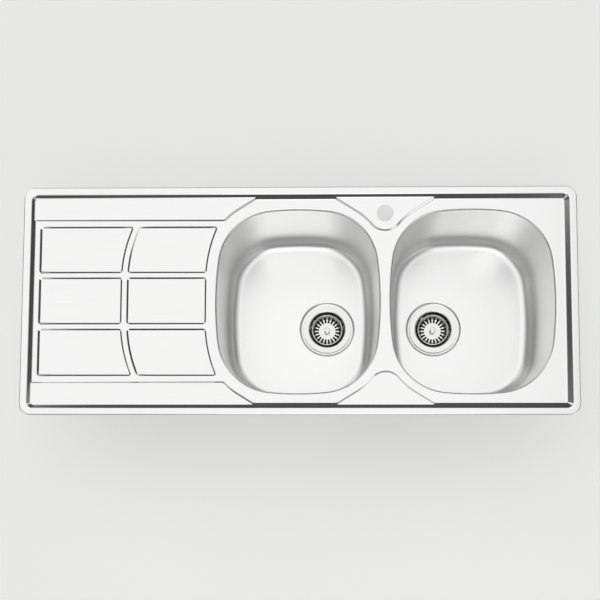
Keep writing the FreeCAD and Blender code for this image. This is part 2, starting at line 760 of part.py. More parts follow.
nodes = {"deck": make_deck(), "rim_seal": make_seal()}
for name, x in (("left", left_bowl_x), ("right", right_bowl_x)):
    drain_x = drain_places[name]
    nodes[name + "_bowl"] = make_bowl(x, drain_x)
    nodes[name + "_sound_pad"] = make_sound_pad(x, drain_x)
    nodes[name + "_flange_gasket"] = washer(drain_x, gasket_inner_radius, gasket_outer_radius, seat_z, flange_z)
    nodes[name + "_body_gasket"] = washer(drain_x, gasket_inner_radius, gasket_outer_radius,
                                          body_top_z, seat_z - sheet)
    nodes[name + "_strainer_cup"] = make_cup(drain_x)
    nodes[name + "_waste_body"] = make_waste_body(drain_x)
    nodes[name + "_waste_tail"] = washer(drain_x, outlet_bore_radius, outlet_radius, outlet_z, cone_bottom_z)
    nodes[name + "_centre_screw"] = make_centre_screw(drain_x)
    nodes[name + "_basket"] = make_basket(drain_x)
    nodes[name + "_basket_knob"] = make_knob(drain_x)
    nodes[name + "_basket_stopper"] = make_stopper(drain_x)
    nodes[name + "_stem_clip"] = washer(drain_x, stem_radius, stem_clip_radius, clip_z, clip_z + stem_clip_thickness)

clip_places = [
    -half_length + clip_end_distance,
    left_bowl_x - bowl_half_length - clip_shelf_end_distance + bracket_width,
    partition_x - clip_tap_distance,
    partition_x + clip_tap_distance,
    half_length - clip_bowl_end_distance,
]
brackets = []
screws = []
for side in ("back", "front"):
    for index, x in enumerate(clip_places):
        bracket, screw, hook = make_clip_parts(x, side)
        brackets.append(bracket)
        screws.append(screw)
        nodes["clip_hook_%s_%d" % (side, index + 1)] = hook
nodes["clip_brackets"] = Part.makeCompound(brackets)
nodes["clip_screws"] = Part.makeCompound(screws)

os.makedirs("parts", exist_ok=True)
for name, shape in nodes.items():
    shape.exportStep("parts/%s.step" % name)
    box = shape.BoundBox
    print(name, len(shape.Solids), shape.isValid(), round(shape.Volume, 1),
          [round(v, 2) for v in (box.XMin, box.XMax, box.YMin, box.YMax, box.ZMin, box.ZMax)])
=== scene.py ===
import json
import math
import bmesh
import bpy
import numpy as np
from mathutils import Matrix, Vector, geometry


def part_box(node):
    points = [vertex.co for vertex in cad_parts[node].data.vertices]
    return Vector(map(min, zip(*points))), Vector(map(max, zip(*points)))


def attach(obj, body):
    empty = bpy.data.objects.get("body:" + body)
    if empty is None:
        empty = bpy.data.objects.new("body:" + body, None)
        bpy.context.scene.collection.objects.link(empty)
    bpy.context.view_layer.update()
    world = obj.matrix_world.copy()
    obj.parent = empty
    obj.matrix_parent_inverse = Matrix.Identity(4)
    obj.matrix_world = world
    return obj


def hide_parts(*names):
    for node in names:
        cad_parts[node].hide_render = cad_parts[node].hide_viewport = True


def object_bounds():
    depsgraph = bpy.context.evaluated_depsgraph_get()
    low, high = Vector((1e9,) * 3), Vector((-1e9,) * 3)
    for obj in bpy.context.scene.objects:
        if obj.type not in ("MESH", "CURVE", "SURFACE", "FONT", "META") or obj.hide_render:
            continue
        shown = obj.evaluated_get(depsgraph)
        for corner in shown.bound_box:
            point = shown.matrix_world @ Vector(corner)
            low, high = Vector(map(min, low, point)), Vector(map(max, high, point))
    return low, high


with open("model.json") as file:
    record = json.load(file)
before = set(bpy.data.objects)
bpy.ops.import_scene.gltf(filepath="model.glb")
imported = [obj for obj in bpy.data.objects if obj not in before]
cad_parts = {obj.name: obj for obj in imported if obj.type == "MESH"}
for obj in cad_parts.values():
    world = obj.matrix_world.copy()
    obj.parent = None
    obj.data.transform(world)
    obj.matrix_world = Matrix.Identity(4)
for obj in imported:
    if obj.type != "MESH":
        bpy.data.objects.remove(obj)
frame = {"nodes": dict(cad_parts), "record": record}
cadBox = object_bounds()
scene = bpy.context.scene
millimetre = 0.001
print("frame loaded,", len(frame["nodes"]), "nodes")


def hexColour(text):
    parts = [int(text[i:i + 2], 16) / 255 for i in (1, 3, 5)]
    return tuple(c / 12.92 if c <= 0.04045 else ((c + 0.055) / 1.055) ** 2.4 for c in parts) + (1.0,)


def addNode(tree, kind, settings=None, links=None):
    node = tree.nodes.new(kind)
    for key, value in (settings or {}).items():
        if key == "stops":  # a colour ramp's places and colours
            elements = node.color_ramp.elements
            while len(elements) < len(value):
                elements.new(0.5)
            for element, (place, colour) in zip(elements, value):
                element.position = place
                element.color = hexColour(colour)
        elif isinstance(key, int) or key in node.inputs:
            node.inputs[key].default_value = value
        else:
            setattr(node, key, value)
    for key, socket in (links or {}).items():
        tree.links.new(socket, node.inputs[key])
    return node


def newMaterial(name):
    material = bpy.data.materials.new(name)
    material.use_nodes = True
    tree = material.node_tree
    tree.nodes.clear()
    return material, tree


def patternScale(size):
    return 1 / (size * millimetre)  # size of one grain, line or cell in millimetres


# camera: from the front and above, as in the photograph
view = {
    "place": (0.0637, -0.5036, 1.7615), "tilt": 4.04, "lean": 0.91, "turn": 0.13,
    "lens": 49.9, "sensor": 36.0, "shift": (-0.025, 0.293),
}
cameraData = bpy.data.cameras.new("photoCamera")
cameraData.lens = view["lens"]
cameraData.sensor_width = view["sensor"]
cameraData.shift_x, cameraData.shift_y = view["shift"]
camera = bpy.data.objects.new("photoCamera", cameraData)
camera.location = view["place"]
camera.rotation_euler = [math.radians(view[key]) for key in ("tilt", "lean", "turn")]
scene.collection.objects.link(camera)
scene.camera = camera
scene.view_settings.view_transform = "Standard"
print("camera placed")


# stainless steel, satin ground: fine lines spread the shine, so flats look even and pale and pressed edges
# draw dark, soft lines; the drawn bowls are duller, so their walls shade softly, and their steel is written
# paler than the deck's, painted light that lifts the bowls, which take less light
satin = {
    "lineLength": 111.1, "linePitch": 2.38,  # real lines lie 0.1 mm apart, too fine to show: drawn coarser
    "patch": 200.0,  # soft patches where the sheet was handled
    "lineRelief": 0.0002, "patchRelief": 0.004,  # metres
    "deckTones": ("#ebebeb", "#efefee"), "deckRoughness": (0.13, 0.19),
    # the bowls' tones are paler than the deck's: painted light that lifts the bowls' walls and floors
    "bowlPaintedLightTones": ("#f5f5f5", "#f9f9f8"), "bowlRoughness": (0.30, 0.36),
}


def satinSteel(name, lineScale, tones, roughness):
    material, tree = newMaterial(name)
    place = addNode(tree, "ShaderNodeTexCoord").outputs["Object"]
    stretched = addNode(tree, "ShaderNodeMapping", {"Scale": lineScale}, {"Vector": place})
    lines = addNode(tree, "ShaderNodeTexNoise", {"Scale": 1.0, "Detail": 4.0, "Roughness": 0.65},
                    {"Vector": stretched.outputs["Vector"]}).outputs["Fac"]
    patches = addNode(tree, "ShaderNodeTexNoise", {"Scale": patternScale(satin["patch"]), "Detail": 3.0},
                      {"Vector": place}).outputs["Fac"]
    tone = addNode(tree, "ShaderNodeValToRGB", {"stops": list(zip((0.3, 0.7), tones))}, {"Fac": lines})
    gloss = addNode(tree, "ShaderNodeMapRange",
                    {"From Min": 0.25, "From Max": 0.75, "To Min": roughness[0], "To Max": roughness[1]},
                    {"Value": lines})
    relief = addNode(tree, "ShaderNodeBump", {"Strength": 0.02, "Distance": satin["lineRelief"]},
                     {"Height": lines})
    waves = addNode(tree, "ShaderNodeBump", {"Strength": 0.03, "Distance": satin["patchRelief"]},
                    {"Height": patches, "Normal": relief.outputs["Normal"]})
    shader = addNode(tree, "ShaderNodeBsdfPrincipled", {"Metallic": 1.0},
                     {"Base Color": tone.outputs["Color"], "Roughness": gloss.outputs["Result"],
                      "Normal": waves.outputs["Normal"]})
    addNode(tree, "ShaderNodeOutputMaterial", None, {"Surface": shader.outputs["BSDF"]})
    return material


along, across = patternScale(satin["lineLength"]), patternScale(satin["linePitch"])
steel = satinSteel("stainless_304_belt_ground_satin", (along, across, across),  # lines run along the deck
                   satin["deckTones"], satin["deckRoughness"])
bowlSteel = satinSteel("stainless_304_deep_drawn_satin_painted_lighter", (across, across, along),  # and down the bowls' walls
                       satin["bowlPaintedLightTones"], satin["bowlRoughness"])
print("satin steel made")


def arcPath(centre, radius, start, end, steps):
    angles = np.linspace(start, end, steps + 1)
    return np.column_stack([centre[0] + radius * np.cos(angles), centre[1] + radius * np.sin(angles)])


def ring(centre, radius, steps):
    return arcPath(centre, radius, 0, 2 * math.pi, steps)[:-1]


def clockwiseRing(centre, radius, steps):
    return arcPath(centre, radius, 2 * math.pi, 0, steps)[:-1]


def offsetPath(path, distance, closed):
    if closed:
        heading = np.roll(path, -1, 0) - np.roll(path, 1, 0)
    else:
        heading = np.gradient(path, axis=0)
        heading[0] = path[1] - path[0]
        heading[-1] = path[-1] - path[-2]
    heading /= np.linalg.norm(heading, axis=1)[:, None]
    return path + distance * np.column_stack([-heading[:, 1], heading[:, 0]])  # to the left of its way


def roundedRectangle(halfX, halfY, radius, steps):
    x, y = halfX - radius, halfY - radius
    corners = [(x, y), (-x, y), (-x, -y), (x, -y)]
    turns = [i * math.pi / 2 for i in range(5)]
    return np.vstack([arcPath(c, radius, a, b, steps) for c, a, b in zip(corners, turns[:-1], turns[1:])])


def inMillimetres(metres):
    return round(metres / millimetre, 3)


# bowls: the outline is eight arcs, millimetres
leftLow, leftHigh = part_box("left_bowl")
rightLow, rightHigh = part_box("right_bowl")
bowl = {
    "halfX": 176.0, "halfY": 201.0, "corner": 122.0, "endArc": 640.0, "sideArc": 740.0,
    "arcSteps": (22, 40, 20, 40),  # side, corner, end, corner
    "edge": 5.0, "lap": 0.6, "sheet": 0.8,  # lap: flat strip beside the turned edge
    "draft": math.radians(3.0), "wallRound": 5.5,
    "wallStart": inMillimetres(leftHigh[2]),  # the wall leans in from here down
    "bend": (-9.5, -24.0), "bendSteps": 7,  # levels of the mesh round that bend
    "wallTop": -30.0, "wallSteps": 14, "wallEnd": (6.0, 1.5),  # and on down to just above the fillet
    "fillet": 28.0, "filletSteps": 18, "floorEdge": 1.5,
    "seat": 61.0, "seatDrop": 3.5, "seatRun": 4.0, "seatEase": 1.0,  # sunk seat of the strainer's flange
    "seatRing": 1.8, "seatFlat": 2.0, "seatSteps": 8, "hole": 45.0, "holeSteps": 96,
    "leftX": (leftLow[0] + leftHigh[0]) / 2 / millimetre,
    "rightX": (rightLow[0] + rightHigh[0]) / 2 / millimetre,
}
bowl["floor"] = inMillimetres(leftLow[2]) + bowl["sheet"] + bowl["seatDrop"]


def cornerPlace():  # centre of the corner arc, which touches the end's arc and the side's arc from inside
    endY, endReach = bowl["halfY"] - bowl["endArc"], bowl["endArc"] - bowl["corner"]
    sideX, sideReach = bowl["halfX"] - bowl["sideArc"], bowl["sideArc"] - bowl["corner"]
    gap = math.hypot(sideX, endY)
    near = (endReach**2 - sideReach**2 + gap**2) / (2 * gap)
    off = math.sqrt(endReach**2 - near**2)
    return near * sideX / gap - off * endY / gap, endY - near * endY / gap - off * sideX / gap


bowl["cornerX"], bowl["cornerY"] = cornerPlace()
bowl["sideTurn"] = math.atan2(bowl["cornerY"], bowl["cornerX"] - bowl["halfX"] + bowl["sideArc"])
bowl["endTurn"] = math.atan2(bowl["cornerY"] - bowl["halfY"] + bowl["endArc"], bowl["cornerX"])


def bowlLoop(x, grow):
    sideX, endY = bowl["halfX"] - bowl["sideArc"], bowl["halfY"] - bowl["endArc"]
    cornerX, cornerY = bowl["cornerX"], bowl["cornerY"]
    centres = [(sideX, 0), (cornerX, cornerY), (0, endY), (-cornerX, cornerY),
               (-sideX, 0), (-cornerX, -cornerY), (0, -endY), (cornerX, -cornerY)]
    side, end, half, full = bowl["sideTurn"], bowl["endTurn"], math.pi, 2 * math.pi
    turns = [-side, side, end, half - end, half - side, half + side, half + end, full - end, full - side]
    radii = [bowl["sideArc"], bowl["corner"], bowl["endArc"], bowl["corner"]] * 2
    arcs = zip(centres, radii, turns[:-1], turns[1:], bowl["arcSteps"] * 2)
    return np.vstack([arcPath(c, r + grow, a, b, n)[:-1] for c, r, a, b, n in arcs]) + (x, 0)


def bowlSide(x, y):  # distance outside the bowl's outline
    x, y = np.abs(x), np.abs(y)
    turn = np.arctan2(y - bowl["cornerY"], x - bowl["cornerX"])
    atCorner = np.hypot(x - bowl["cornerX"], y - bowl["cornerY"]) - bowl["corner"]
    atEnd = np.hypot(x, y - bowl["halfY"] + bowl["endArc"]) - bowl["endArc"]
    atSide = np.hypot(x - bowl["halfX"] + bowl["sideArc"], y) - bowl["sideArc"]
    wellInside = (x < bowl["cornerX"]) & (y < bowl["cornerY"])
    distance = np.where(turn > bowl["endTurn"], atEnd, np.where(turn < bowl["sideTurn"], atSide, atCorner))
    return np.where(wellInside, -bowl["corner"], distance)


# pressed deck: heights worked out from how far a point lies from each pressed line, millimetres
tapMount = next(mount for mount in frame["record"]["mounts"] if mount["name"] == "tap_hole")
deckHigh = [inMillimetres(v) for v in cadBox[1]]  # the deck reaches furthest to the sides and up
deck = {
    "halfX": deckHigh[0], "halfY": deckHigh[1], "corner": 25.0, "cornerSteps": 16,
    "edge": 3.0, "lap": 0.6, "sheet": 0.8,
    "rimZ": deckHigh[2], "fieldZ": -3.0, "ledgeZ": 0.0,
    "rimX": 578.75, "rimY": 228.75, "rimCorner": 9.0, "rimRound": 1.4, "rimBlend": 1.4,
    "rimRun": 9.6, "rimFrontRun": 12.4, "rimFrontStart": 160.0, "rimFrontReach": 50.0,
    "ledgeRun": 3.6, "ledgeRound": 0.35, "ledgeBlend": 0.5, "ledgeGap": 22.0,
    "leave": math.radians(58.0),  # where ledges and shelves leave the bowls' corners in a straight line
    "shelfFront": 177.8, "shelfGap": 27.5, "shelfCorner": 8.0,
    "slopeStart": -193.0, "slopeRise": 1.2, "slopeEnd": -573.5, "slopeRound": 15.0,
    "padColumns": [(-562.5, -385.5, False), (-371.5, -202.5, True)],  # left, right, if the left side bends
    "padHeight": 100.0, "padPitch": 112.8, "padBend": 300.0, "padBendStart": 45.0, "padCorner": 5.0,
    "padRise": 2.5, "padRun": 3.2, "padEase": (1.4, 0.4), "padEaseReach": 10.0, "padRound": 0.35,
    "padEndEase": 1.3, "padEndStart": -540.0, "padEndReach": 12.0,
    "tapY": inMillimetres(tapMount["pos_m"][1]), "tapHole": tapMount["dims"]["r_mm"], "tapSteps": 64,
    "tapEdge": [(1.2, 0.0), (0.6, 0.0), (0.3, -0.05), (0.08, -0.2), (0.0, -0.4), (0.0, -0.8)],  # out, height
}
deck["partition"] = (bowl["leftX"] + bowl["rightX"]) / 2
deck["flankGap"] = deck["partition"] - bowl["leftX"] - bowl["cornerX"]
deck["flank"] = bowl["corner"] + deck["ledgeGap"]
deck["shelfFlank"] = bowl["corner"] + deck["shelfGap"]
# the way from the centre of a bowl's corner to the tap hole, and the radius left for the ledge's round tip
deck["toward"] = math.atan2(deck["tapY"] - bowl["cornerY"], deck["flankGap"])
deck["tip"] = math.hypot(deck["tapY"] - bowl["cornerY"], deck["flankGap"]) - deck["flank"]
deck["shelfX"] = bowl["leftX"] - bowl["cornerX"]  # centre of the arc that the shelf's end follows
deck["roundY"] = deck["shelfFront"] + deck["shelfCorner"]  # centre of the shelf's rounded corner
roundRise = deck["roundY"] - bowl["cornerY"]
deck["roundX"] = deck["shelfX"] - math.sqrt((deck["shelfFlank"] + deck["shelfCorner"])**2 - roundRise**2)
deck["roundTurn"] = math.atan2(bowl["cornerY"] - deck["roundY"], deck["shelfX"] - deck["roundX"])
tapCentre = (deck["partition"], deck["tapY"])


# how far a point lies past each pressed line, on the raised side
def flankSide(x, y, radius):  # from the centre of a bowl's corner
    turn = np.arctan2(y, x)
    straight = x * math.cos(deck["leave"]) + y * math.sin(deck["leave"]) - radius
    return np.where(turn > deck["leave"], straight, np.hypot(x, y) - radius)


def rimSide(x, y):
    pastX = np.abs(x) - deck["rimX"] + deck["rimCorner"]
    pastY = np.abs(y) - deck["rimY"] + deck["rimCorner"]
    outside = np.hypot(np.maximum(pastX, 0), np.maximum(pastY, 0))
    return outside + np.minimum(np.maximum(pastX, pastY), 0) - deck["rimCorner"]


def shelfSide(x, y):
    y = np.abs(y)
    atFlank = flankSide(deck["shelfX"] - x, y - bowl["cornerY"], deck["shelfFlank"])
    turn = np.arctan2(y - deck["roundY"], x - deck["roundX"])
    onCorner = (turn > -math.pi / 2) & (turn < deck["roundTurn"])
    atCorner = deck["shelfCorner"] - np.hypot(x - deck["roundX"], y - deck["roundY"])
    return np.where(onCorner, atCorner, np.minimum(y - deck["shelfFront"], atFlank))


def ledgeSide(x, y):
    apart = np.abs(x - deck["partition"])
    y = np.abs(y)
    sideways, back = deck["flankGap"] - apart, y - bowl["cornerY"]
    onTip = np.arctan2(back, sideways) < deck["toward"]
    atTip = deck["tip"] - np.hypot(apart, y - deck["tapY"])
    return np.where(onTip, atTip, flankSide(sideways, back, deck["flank"]))


def bentSide(x, y, place):  # how far right of a pad's side whose ends bend toward the bowls
    past = np.abs(y) - deck["padBendStart"]
    onArc = (past > 0) & (x - place < deck["padBend"])
    return np.where(onArc, deck["padBend"] - np.hypot(x - place - deck["padBend"], past), x - place)


def padSide(x, y, column, middle):
    left, right, bends = column
    fromLeft = bentSide(x, y, left) if bends else x - left
    fromRight = -bentSide(x, y, right)
    fromFront = y - middle + deck["padHeight"] / 2
    fromBack = middle - y + deck["padHeight"] / 2
    fromSide = np.minimum(fromLeft, fromRight)
    fromEnd = np.minimum(fromFront, fromBack)
    r = deck["padCorner"]
    onCorner = (fromSide < r) & (fromEnd < r)
    side = np.where(onCorner, r - np.hypot(r - fromSide, r - fromEnd), np.minimum(fromSide, fromEnd))
    nearer = np.minimum(fromRight, fromFront) - np.minimum(fromLeft, fromBack)
    toBackLeft = np.clip(nearer / deck["padEaseReach"], -1, 1)  # -1 at the front and right sides
    return side, toBackLeft


# ramps and tops whose bends are rounded over a width to each side
def softRamp(past, width):
    return np.where(past < -width, 0.0, np.where(past > width, past, (past + width)**2 / (4 * width)))


def softTop(side, top, height, run, width):
    past = side - run / 2
    drop = np.where(past < -width, past, np.where(past > width, 0.0, -(width - past)**2 / (4 * width)))
    return top + height / run * drop


def softMax(a, b, width):
    near = np.maximum(width - np.abs(a - b), 0) / width
    return np.maximum(a, b) + near**2 * width / 4


def padPlaces():
    return [(column, row * deck["padPitch"]) for column in deck["padColumns"] for row in (-1, 0, 1)]


def deckHeight(x, y):
    slope = deck["slopeRise"] / (deck["slopeStart"] - deck["slopeEnd"])
    z = deck["fieldZ"] + slope * softRamp(deck["slopeStart"] - x, deck["slopeRound"])
    besideRim = np.clip((deck["padEndStart"] - x) / deck["padEndReach"], 0, 1)
    for column, middle in padPlaces():
        side, toBackLeft = padSide(x, y, column, middle)
        # slopes are gentler toward the back and left, and gentlest beside the rim
        padRun = deck["padRun"] + toBackLeft * np.where(toBackLeft > 0, *deck["padEase"])
        padRun = padRun + deck["padEndEase"] * besideRim
        lift = softRamp(side + padRun / 2, deck["padRound"]) - softRamp(side - padRun / 2, deck["padRound"])
        z = z + deck["padRise"] / padRun * lift
    ledgeRise = deck["ledgeZ"] - deck["fieldZ"]
    for side in (shelfSide(x, y), ledgeSide(x, y)):
        ledge = softTop(side, deck["ledgeZ"], ledgeRise, deck["ledgeRun"], deck["ledgeRound"])
        z = softMax(z, ledge, deck["ledgeBlend"])
    # the rim's step leans back more at the front
    toFront = np.clip((-y - deck["rimFrontStart"]) / deck["rimFrontReach"], 0, 1)
    rimRun = deck["rimRun"] + (deck["rimFrontRun"] - deck["rimRun"]) * toFront
    rim = softTop(rimSide(x, y), deck["rimZ"], deck["rimZ"] - deck["fieldZ"], rimRun, deck["rimRound"])
    return softMax(z, rim, deck["rimBlend"])


# mesh lines run beside each pressed line, out to a reach and at a pitch that its slope and roundings need
meshLines = {
    "rim": (8.4, 0.7), "ledge": (3.4, 0.425), "pad": (3.5, 0.35),
    "slope": (-1.1, -1, -0.5, 0, 0.5, 1, 1.1), "slopeEndY": 222.0,  # slope: shares of its rounding
    "inset": 8.0, "shelfLead": 4.0, "quarters": np.array((0.25, 0.5, 0.75, 1.0)),
    "rimSteps": 8, "shelfSteps": 12, "shelfCornerSteps": 10, "shelfFlankSteps": 16,
    "ledgeFlankSteps": 14, "tipSteps": 12, "padSideSteps": 12, "padCornerSteps": 6, "padEndSteps": 8,
    "merge": 1e-4, "holeSlack": 0.05, "bowlSlack": 0.02,  # slack where triangles inside holes are dropped
}
# shelves' and ledges' lines run on into the rim
lineEndX, lineEndY = deck["halfX"] - meshLines["inset"], deck["halfY"] - meshLines["inset"]
points, edges = [], []


def beside(reach, pitch):
    return np.arange(-reach, reach + pitch / 2, pitch)


def addPath(path, closed):
    first = len(points)
    points.extend(Vector((px, py)) for px, py in path)
    edges.extend((first + i, first + i + 1) for i in range(len(path) - 1))
    if closed:
        edges.append((first + len(path) - 1, first))


def shelfPath():
    corner = arcPath((deck["roundX"], deck["roundY"]), deck["shelfCorner"],
                     -math.pi / 2, deck["roundTurn"], meshLines["shelfCornerSteps"])
    flank = arcPath((deck["shelfX"], bowl["cornerY"]), deck["shelfFlank"],
                    math.pi + deck["roundTurn"], math.pi - deck["leave"], meshLines["shelfFlankSteps"])
    heading = np.array((math.sin(deck["leave"]), math.cos(deck["leave"])))
    run = (lineEndY - flank[-1][1]) / heading[1]
    ends = [flank[-1] + heading * run * t for t in meshLines["quarters"]]
    frontX = np.linspace(-lineEndX, deck["roundX"] - meshLines["shelfLead"], meshLines["shelfSteps"])
    return np.vstack([[(x, deck["shelfFront"]) for x in frontX], corner, flank[1:], ends])


def ledgePath():
    flank = arcPath((deck["partition"] - deck["flankGap"], bowl["cornerY"]), deck["flank"],
                    deck["leave"], deck["toward"], meshLines["ledgeFlankSteps"])
    heading = np.array((-math.sin(deck["leave"]), math.cos(deck["leave"])))
    run = (lineEndY - flank[0][1]) / heading[1]
    starts = [flank[0] + heading * run * t for t in meshLines["quarters"][::-1]]
    tip = arcPath(tapCentre, deck["tip"], deck["toward"] + math.pi, 1.5 * math.pi, meshLines["tipSteps"])
    half = np.vstack([starts, flank, tip[1:]])
    mirrored = half[::-1][1:].copy()
    mirrored[:, 0] = 2 * deck["partition"] - mirrored[:, 0]
    return np.vstack([half, mirrored])


def padSideX(side, y):
    place, bends = side
    past = np.maximum(np.abs(y) - deck["padBendStart"], 0) * bends
    return place + (deck["padBend"] - np.sqrt(deck["padBend"]**2 - past**2))


def padOutline(column, middle):
    left, right, bends = column
    low, high, r = middle - deck["padHeight"] / 2, middle + deck["padHeight"] / 2, deck["padCorner"]
    upward = np.linspace(low + r, high - r, meshLines["padSideSteps"])
    downward = np.linspace(high - r, low + r, meshLines["padSideSteps"])
    leftSide, rightSide = (left, bends), (right, True)
    outline = []
    for here, there, inward, start, ys in ((rightSide, leftSide, -1, 0, upward),
                                           (leftSide, rightSide, 1, math.pi, downward)):
        fromX = padSideX(here, ys[-1]) + inward * r
        toX = padSideX(there, ys[-1]) - inward * r
        endX = np.linspace(fromX, toX, meshLines["padEndSteps"])[1:-1]
        steps = meshLines["padCornerSteps"]
        outline.append(np.column_stack([padSideX(here, ys), ys]))
        outline.append(arcPath((fromX, ys[-1]), r, start, start + math.pi / 2, steps)[1:])
        outline.append(np.column_stack([endX, np.full_like(endX, ys[-1] - inward * r)]))
        outline.append(arcPath((toX, ys[-1]), r, start + math.pi / 2, start + math.pi, steps)[:-1])
    return np.vstack(outline)


rimPath = roundedRectangle(deck["rimX"], deck["rimY"], deck["rimCorner"], meshLines["rimSteps"])
for distance in beside(*meshLines["rim"]):
    addPath(offsetPath(rimPath, -distance, True), True)
pressedPaths = (shelfPath(), ledgePath())
for distance in beside(*meshLines["ledge"]):
    for path in pressedPaths:
        line = offsetPath(path, distance, False)
        addPath(line, False)
        addPath(line * (1, -1), False)  # the same at the front
for column, middle in padPlaces():
    outline = padOutline(column, middle)
    for distance in beside(*meshLines["pad"]):
        addPath(offsetPath(outline, distance, True), True)
for x in deck["slopeStart"] + deck["slopeRound"] * np.array(meshLines["slope"]):
    addPath([(x, y) for y in (-meshLines["slopeEndY"], 0.0, meshLines["slopeEndY"])], False)

outerInset = deck["edge"] + deck["lap"]
bowlInset = bowl["edge"] + bowl["lap"]
tapInset = deck["tapHole"] + deck["tapEdge"][0][0]


def deckLoop(inset):
    return roundedRectangle(deck["halfX"] - inset, deck["halfY"] - inset, deck["corner"] - inset,
                            deck["cornerSteps"])


addPath(deckLoop(outerInset), True)
for x in (bowl["leftX"], bowl["rightX"]):
    addPath(bowlLoop(x, bowlInset), True)
addPath(ring(tapCentre, tapInset, deck["tapSteps"]), True)
flat = geometry.delaunay_2d_cdt(points, edges, [], 0, meshLines["merge"])
places = np.array([(v.x, v.y) for v in flat[0]])
heights = deckHeight(places[:, 0], places[:, 1])
triangles = np.array(flat[2])
middles = places[triangles].mean(axis=1)
keep = np.hypot(*(middles - tapCentre).T) > tapInset - meshLines["holeSlack"]
for x in (bowl["leftX"], bowl["rightX"]):
    keep &= bowlSide(middles[:, 0] - x, middles[:, 1]) > bowlInset - meshLines["bowlSlack"]
triangles = triangles[keep]
print("deck surface:", len(places), "points,", len(triangles), "triangles")


def addFaces(mesh, spots, levels, faces):
    verts = [mesh.verts.new(place) for place in np.column_stack([spots, levels]) * millimetre]
    for a, b, c in faces:
        (bx, by), (cx, cy) = spots[b] - spots[a], spots[c] - spots[a]
        facesUp = bx * cy - by * cx > 0
        mesh.faces.new([verts[i] for i in ((a, b, c) if facesUp else (a, c, b))])


def addStrip(mesh, loops):
    rows = [[mesh.verts.new(Vector(p) * millimetre) for p in loop] for loop in loops]
    for upper, lower in zip(rows[:-1], rows[1:]):
        for i in range(len(upper)):
            j = (i + 1) % len(upper)
            mesh.faces.new((upper[i], lower[i], lower[j], upper[j]))


def lifted(path, z):
    return [(x, y, z) for x, y in path]


def turnedEdge(radius, top):  # quarter round, from the flat down to the wall
    turns = np.radians(np.arange(0, 91, 15))
    return [(radius * (1 - math.sin(t)), top - radius * (1 - math.cos(t))) for t in turns]


weldDistance = 1e-6  # metres


def makePiece(mesh, name, material, sheet):
    bmesh.ops.delete(mesh, geom=[v for v in mesh.verts if not v.link_faces], context="VERTS")
    bmesh.ops.remove_doubles(mesh, verts=mesh.verts, dist=weldDistance)
    for face in mesh.faces:
        face.smooth = True
    for edge in mesh.edges:
        edge.smooth = not edge.is_boundary  # the sheet's cut edges stay sharp
    data = bpy.data.meshes.new(name)
    mesh.to_mesh(data)
    mesh.free()
    data.materials.append(material)
    piece = bpy.data.objects.new(name, data)
    scene.collection.objects.link(piece)
    shell = piece.modifiers.new("sheet", "SOLIDIFY")
    shell.thickness = sheet * millimetre
    shell.offset = -1.0
    return piece


mesh = bmesh.new()
addFaces(mesh, places, heights, triangles)
rimProfile = [(outerInset, deck["rimZ"])] + turnedEdge(deck["edge"], deck["rimZ"]) + [(0.0, 0.0)]
addStrip(mesh, [lifted(deckLoop(inset), z) for inset, z in rimProfile])
tapProfile = [(deck["tapHole"] + grow, deck["ledgeZ"] + z) for grow, z in deck["tapEdge"]]
addStrip(mesh, [lifted(clockwiseRing(tapCentre, r, deck["tapSteps"]), z) for r, z in tapProfile])
deckPiece = makePiece(mesh, "pressed_deck", steel, deck["sheet"])
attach(deckPiece, "sink")
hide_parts("deck")
print("deck made")


# bowls: one wall profile carried round the outline, as how far out and how high
def wallProfile():
    lean = math.tan(bowl["draft"])
    centreZ = bowl["floor"] + bowl["fillet"]
    touchZ = centreZ - bowl["fillet"] * math.sin(bowl["draft"])  # the wall meets the fillet here
    wallLow, wallLast = bowl["wallEnd"]
    levels = [*np.linspace(*bowl["bend"], bowl["bendSteps"]),
              *np.linspace(bowl["wallTop"], touchZ + wallLow, bowl["wallSteps"]), touchZ + wallLast]
    profile = [(bowlInset, deck["fieldZ"])] + turnedEdge(bowl["edge"], deck["fieldZ"])
    profile += [(-float(softRamp(bowl["wallStart"] - z, bowl["wallRound"])) * lean, z) for z in levels]
    reach = -(bowl["wallStart"] - touchZ) * lean - bowl["fillet"] * math.cos(bowl["draft"])
    for t in np.linspace(bowl["draft"], math.pi / 2, bowl["filletSteps"] + 1):
        profile.append((reach + bowl["fillet"] * math.cos(t), centreZ - bowl["fillet"] * math.sin(t)))
    profile.append((reach - bowl["floorEdge"], bowl["floor"]))
    return profile


def seatProfile():  # as radius and height
    top = bowl["seat"] + bowl["seatRun"] + bowl["seatEase"]
    drop, run = bowl["seatDrop"], bowl["seatRun"] + 2 * bowl["seatEase"]
    shares = np.linspace(0, 1, bowl["seatSteps"] + 1)
    profile = [(bowl["seat"] + bowl["seatRun"] + bowl["seatRing"], 0.0), (top, 0.0)]
    profile += [(top - t * run, -drop * (t * t * (3 - 2 * t))) for t in shares]
    profile += [(bowl["seat"] - bowl["seatFlat"], -drop), (bowl["hole"], -drop)]
    profile.append((bowl["hole"], -drop - bowl["sheet"]))
    return [(r, bowl["floor"] + z) for r, z in profile]


def loopEdges(first, count):
    return [(first + i, first + (i + 1) % count) for i in range(count)]


